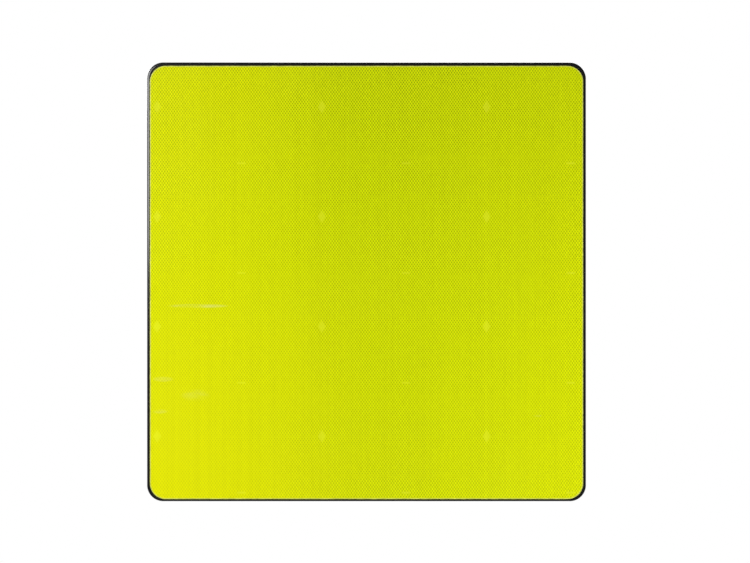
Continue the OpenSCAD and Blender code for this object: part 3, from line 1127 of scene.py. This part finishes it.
def fastenerGrid():
    # copies one fastener to every hole of a rail, each turned by its own angle
    tree = bpy.data.node_groups.new("fastenerGrid", "GeometryNodeTree")
    tree.is_modifier = True
    sockets = (
        ("Fastener", "NodeSocketGeometry", None), ("Columns", "NodeSocketInt", 4),
        ("Rows", "NodeSocketInt", 2), ("Column Pitch", "NodeSocketFloat", 0.1567),
        ("Row Gap", "NodeSocketFloat", 0.045), ("Centre", "NodeSocketVector", (0, 0, 0)),
        ("Seed", "NodeSocketInt", 1), ("Finish", "NodeSocketMaterial", None),
    )
    for name, kind, value in sockets:
        socket = tree.interface.new_socket(name, in_out="INPUT", socket_type=kind)
        if value is not None:
            socket.default_value = value
    tree.interface.new_socket("Fasteners", in_out="OUTPUT", socket_type="NodeSocketGeometry")
    given = put(tree, "NodeGroupInput").outputs
    columnGaps, rowGaps = (calc(tree, "SUBTRACT", given[name], 1.0) for name in ("Columns", "Rows"))
    grid = put(tree, "GeometryNodeMeshGrid", {
        "Size X": times(tree, columnGaps, given["Column Pitch"]),
        "Size Y": times(tree, rowGaps, given["Row Gap"]),
        "Vertices X": given["Columns"], "Vertices Y": given["Rows"],
    })
    stood = put(tree, "GeometryNodeTransform", {
        "Geometry": grid.outputs["Mesh"], "Translation": given["Centre"],
        "Rotation": (math.radians(90), 0, 0),
    })
    turn = put(tree, "FunctionNodeRandomValue", {"Seed": given["Seed"]}, data_type="FLOAT")
    turn.inputs[3].default_value = 2 * math.pi
    angle = put(tree, "ShaderNodeCombineXYZ", {"Y": turn.outputs[1]})
    copies = put(tree, "GeometryNodeInstanceOnPoints", {
        "Points": stood.outputs[0], "Instance": given["Fastener"], "Rotation": angle.outputs[0],
    })
    real = put(tree, "GeometryNodeRealizeInstances", {"Geometry": copies.outputs[0]})
    finished = put(tree, "GeometryNodeSetMaterial", {
        "Geometry": real.outputs[0], "Material": given["Finish"],
    })
    put(tree, "NodeGroupOutput", {0: finished.outputs[0]})
    return tree


gridTree = fastenerGrid()


def spreadFasteners(piece, level, seed, finish):
    low, high, middle = placeOf(level + "_rail")
    shape = railShape
    values = {
        "Columns": shape["holesPerFoot"],
        "Rows": 2,
        "Column Pitch": (high.x - low.x - 2 * shape["firstHole"]) * mm / (shape["holesPerFoot"] - 1),
        "Row Gap": 2 * shape["footLine"] * mm,
        "Centre": (0.0, 0.0, middle.z * mm),
        "Seed": seed,
        "Finish": finish,
    }
    modifier = piece.modifiers.new("fastenerGrid", "NODES")
    modifier.node_group = gridTree
    for item in gridTree.interface.items_tree:
        if item.item_type == "SOCKET" and item.name in values:
            modifier[item.identifier] = values[item.name]
    applyModifiers(piece)


def studBody(bm, front):
    shape = studShape
    half, core, top = shape["flangeDiameter"] / 2, shape["thread"] / 2, front + shape["flangeHeight"]
    turned(bm, [
        (half - 0.05, front), (half, front + 0.1), (half, top - 0.3), (half - 0.3, top),
        (core + 0.15, top), (core, top + 0.15), (core, top + 0.3),
    ], (0, 0), 36, closed=False)
    threadedRod(bm, (0, 0), shape, top + 0.1, front + shape["length"], segments=30)


def studWasher(bm, front):
    washerShape(bm, (0, 0), studWasherShape, front)


def studNut(bm, front):
    nutShape(bm, (0, 0), studShape["thread"], studNutShape, front)


railFixings = (
    ("Studs", studBody, aluminiumStud, "aluminium_stud"),
    ("Washers", studWasher, platedSteel, "zinc_plated_steel"),
    ("Nuts", studNut, platedSteel, "zinc_plated_steel"),
)
for level, seed in (("upper", 11), ("lower", 23)):
    for offset, (part, build, finish, slot) in enumerate(railFixings):
        node = level + "_rail_" + part.lower()
        bm = bmesh.new()
        build(bm, placeOf(node)[0].y)
        piece = makePiece(level + "Rail" + part, bm, [finish])
        spreadFasteners(piece, level, seed + offset, finish)
        addPiece(piece, "panel", slot, node)
print("rail fixings ready")


clampShape = {
    "postRadius": 38.05,
    "ringWall": 5.0,
    "halfSplit": 3.0,
    "ear": 6.0,
    "base": 5.0,
    "web": 4.0,
    "boltHole": 9.0,
    "innerRound": 2.5,
    "ringRound": 3.5,
    "seatRound": 2.1,
    "outerRound": 2.0,
    "edge": 0.3,
    "holeEdge": 0.4,
    "teeth": 19,         # shallow grooves that grip the post
    "toothDepth": 0.5,
    "toothWidth": 1.4,
    "smoothAngle": 34.0,
}


def seatArc(start, end):
    # the bore from one split to the other, with its gripping grooves
    shape = clampShape
    radius, count = shape["postRadius"], shape["teeth"]
    pitch = (end - start) / (count + 1)
    half = math.copysign(math.degrees(shape["toothWidth"] / radius) / 2, pitch)
    points, at = [], start
    for tooth in range(1, count + 1):
        middle = start + tooth * pitch
        points += arc(0, 0, radius, at, middle - half, 3)
        points += arc(0, 0, radius + shape["toothDepth"], middle, middle, 1)[:1]
        at = middle + half
    return points + arc(0, 0, radius, at, end, 3)


def ringFillet(lineY, radius, away):
    # the round between the ring's outside and a level line; away is +1 above the line
    outer = clampShape["postRadius"] + clampShape["ringWall"]
    y = lineY + away * radius
    x = math.sqrt((outer + radius) ** 2 - y * y)
    toRing = math.degrees(math.atan2(-y, -x))
    toLine = -90.0 * away
    turn = (toRing - toLine + 180) % 360 - 180
    return arc(x, y, radius, toLine, toLine + turn, 5), math.degrees(math.atan2(y, x))


def saddleOutlines(halfWidth, front):
    shape = clampShape
    post, split, ear = shape["postRadius"], shape["halfSplit"], shape["ear"]
    startAngle = -math.degrees(math.asin(split / post))
    outside = roundCorners([
        (-halfWidth, -split, 0.6), (-halfWidth, front, 1.2), (halfWidth, front, 1.2),
        (halfWidth, -split, 0.6),
    ])
    outside += seatArc(startAngle, -180 - startAngle)
    seat, earFront = front + shape["base"], -split - ear
    side = halfWidth - shape["web"]
    low, lowAngle = ringFillet(seat, shape["seatRound"], 1)
    high, highAngle = ringFillet(earFront, shape["ringRound"], -1)
    hollow = low[::-1] + roundCorners([
        low[0] + (0,), (side, seat, shape["innerRound"]),
        (side, earFront, shape["innerRound"]), high[0] + (0,),
    ])[1:-1] + high + arc(0, 0, post + shape["ringWall"], highAngle, lowAngle, 14)[1:-1]
    mirrored = [(-x, y) for x, y in hollow]
    return [outside, hollow, mirrored]


def strapOutlines(halfWidth):
    shape = clampShape
    post, split = shape["postRadius"], shape["halfSplit"]
    startAngle = math.degrees(math.asin(split / post))
    seat = split + shape["ear"]
    fillet, filletAngle = ringFillet(seat, shape["ringRound"], 1)
    rightEar = roundCorners([
        (halfWidth - 10, split, 0), (halfWidth, split, 0.6),
        (halfWidth, seat, shape["outerRound"]), (halfWidth - 10, seat, 0),
    ])[1:-1] + fillet
    leftEar = [(-x, y) for x, y in rightEar][::-1]
    over = arc(0, 0, post + shape["ringWall"], filletAngle, 180 - filletAngle, 48)[1:-1]
    return [rightEar + over + leftEar + seatArc(180 - startAngle, startAngle)]


def boltOffset(level):
    # how far a clamp's bolts stand from its middle
    return placeOf(level + "_right_clamp_nut")[2].x


def makeClamp(level):
    shape = clampShape
    low, high, middle = placeOf(level + "_clamp_saddle")
    split, ear = shape["halfSplit"], shape["ear"]
    saddleWalls = [(low.y, low.y + shape["base"]), (-split - ear, -split)]
    # each half: name, body, outlines, and front and back of the walls that its bolt holes pass
    halves = (
        ("Saddle", "_clamp", saddleOutlines(high.x, low.y), saddleWalls),
        ("Strap", "_strap", strapOutlines(high.x), [(split, split + ear)]),
    )
    for name, body, outlines, walls in halves:
        bm = bmesh.new()
        extrudeOutline(bm, outlines, low.z, high.z, shape["edge"], lambda x, y, z: (x, y, z))
        half = makePiece(level + "Clamp" + name, bm, [clampAluminium, sawnAluminium])
        holes = bmesh.new()
        for side in (-1, 1):
            for near, far in walls:
                holeCutter(
                    holes, (side * boltOffset(level), middle.z), shape["boltHole"],
                    shape["holeEdge"], near, far, 56,
                )
        cutHoles(half, makePiece("boltHoles", holes, [clampAluminium]))
        # the two sawn faces get their own finish
        for polygon in half.data.polygons:
            away = abs(polygon.center.z / mm - middle.z)
            polygon.material_index = int(abs(away - (high.z - middle.z)) < 0.02)
        softenShading(half, shape["smoothAngle"])
        addPiece(half, level + body, "clamp_aluminium", level + "_clamp_" + name.lower())


boltShape = {
    "thread": 8.0,
    "pitch": 1.25,
    "taper": 0.8,
    "headHeight": 4.0,
    "headRound": 0.7,
    "headCorners": (1.2, 3.2),   # two are rounder, so that the head can turn in the slot
    "plain": 6.0,                # bare shank behind the head
}
clampWasherShape = {"inner": 9.0, "outer": 17.0, "thickness": 1.6}
clampNutShape = {"acrossFlats": 13.0, "height": 6.5, "threadGap": 0.05}


def makeClampBolts(level):
    shape = boltShape
    name = level + "_clamp_bolts"
    low, high, middle = placeOf(name)
    halfLength, halfWidth = high.z - middle.z, high.x - boltOffset(level)
    sharp, blunt = shape["headCorners"]
    headBack = low.y + shape["headHeight"]
    bm = bmesh.new()
    for side in (-1, 1):
        x = side * boltOffset(level)
        head = roundCorners([
            (x - halfWidth, -halfLength, sharp), (x + halfWidth, -halfLength, blunt),
            (x + halfWidth, halfLength, sharp), (x - halfWidth, halfLength, blunt),
        ])
        extrudeOutline(
            bm, [head], low.y, headBack, shape["headRound"], lambda x, z, y: (x, y, middle.z + z)
        )
        threadedRod(bm, (x, middle.z), shape, headBack - 0.2, high.y)
    piece = makePiece(level + "ClampBolts", bm, [platedSteel])
    addPiece(piece, level + "_clamp", "zinc_plated_steel", name)


def makeClampWashers(level):
    name = level + "_clamp_washers"
    low, high, middle = placeOf(name)
    bm = bmesh.new()
    for side in (-1, 1):
        x = side * (high.x - clampWasherShape["outer"] / 2)
        washerShape(bm, (x, middle.z), clampWasherShape, low.y)
    piece = makePiece(level + "ClampWashers", bm, [platedSteel])
    addPiece(piece, level + "_strap", "zinc_plated_steel", name)


def makeClampNut(level, side):
    name = level + "_" + side + "_clamp_nut"
    low, _, middle = placeOf(name)
    bm = bmesh.new()
    nutShape(bm, (middle.x, middle.z), boltShape["thread"], clampNutShape, low.y)
    piece = makePiece(level + side.capitalize() + "ClampNut", bm, [platedSteel])
    addPiece(piece, level + "_" + side + "_nut", "zinc_plated_steel", name)


for level in ("upper", "lower"):
    makeClamp(level)
    makeClampBolts(level)
    makeClampWashers(level)
    for side in ("left", "right"):
        makeClampNut(level, side)
print("clamps ready")
